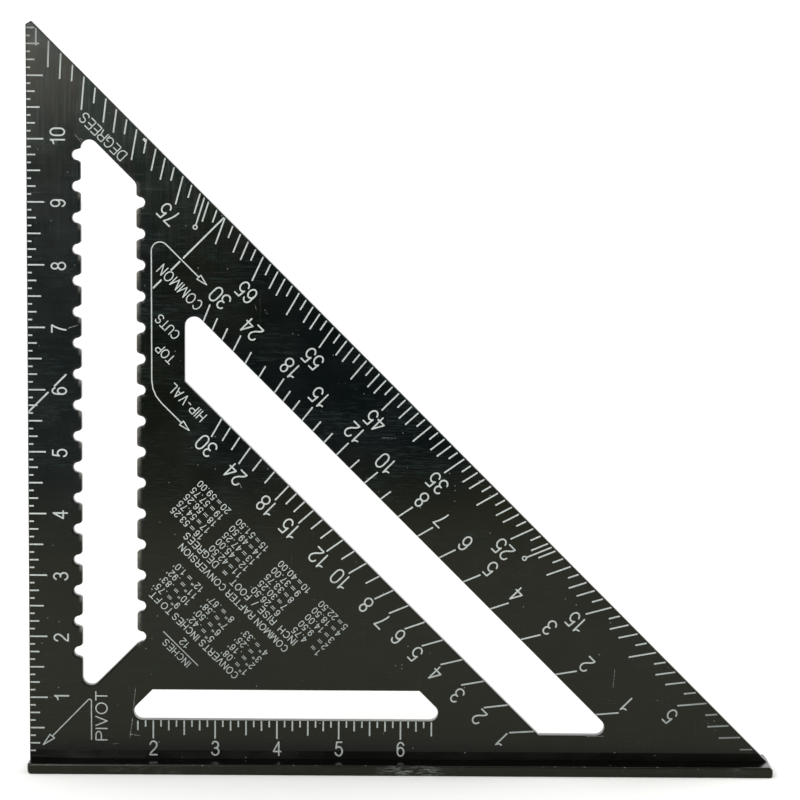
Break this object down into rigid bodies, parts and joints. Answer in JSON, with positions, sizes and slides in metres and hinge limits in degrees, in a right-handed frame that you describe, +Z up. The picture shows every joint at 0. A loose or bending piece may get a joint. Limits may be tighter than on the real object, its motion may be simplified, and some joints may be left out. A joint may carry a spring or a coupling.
{
  "type": "rafter angle square",
  "caption": "Right-triangle layout square: a flat slotted blade with 45 degree corners, one edge seated in a T-shaped fence that hooks over the work.",
  "frame": {"origin": "middle of the fence's outer face, the face the square stands on", "axes": "+X along the fence from the 90 degree edge towards the tapering tip, +Z up the 90 degree edge, and the marked face of the blade looks towards -Y"},
  "size_m": [0.3048, 0.0254, 0.3055],
  "materials": {
    "blade": "black anodised, finely brushed, white engraved marks",
    "fence": "black anodised, semi-gloss, worn along the rim"
  },
  "bodies": {
    "root": {"blade": "blade", "fence": "fence"}
  },
  "joints": []
}
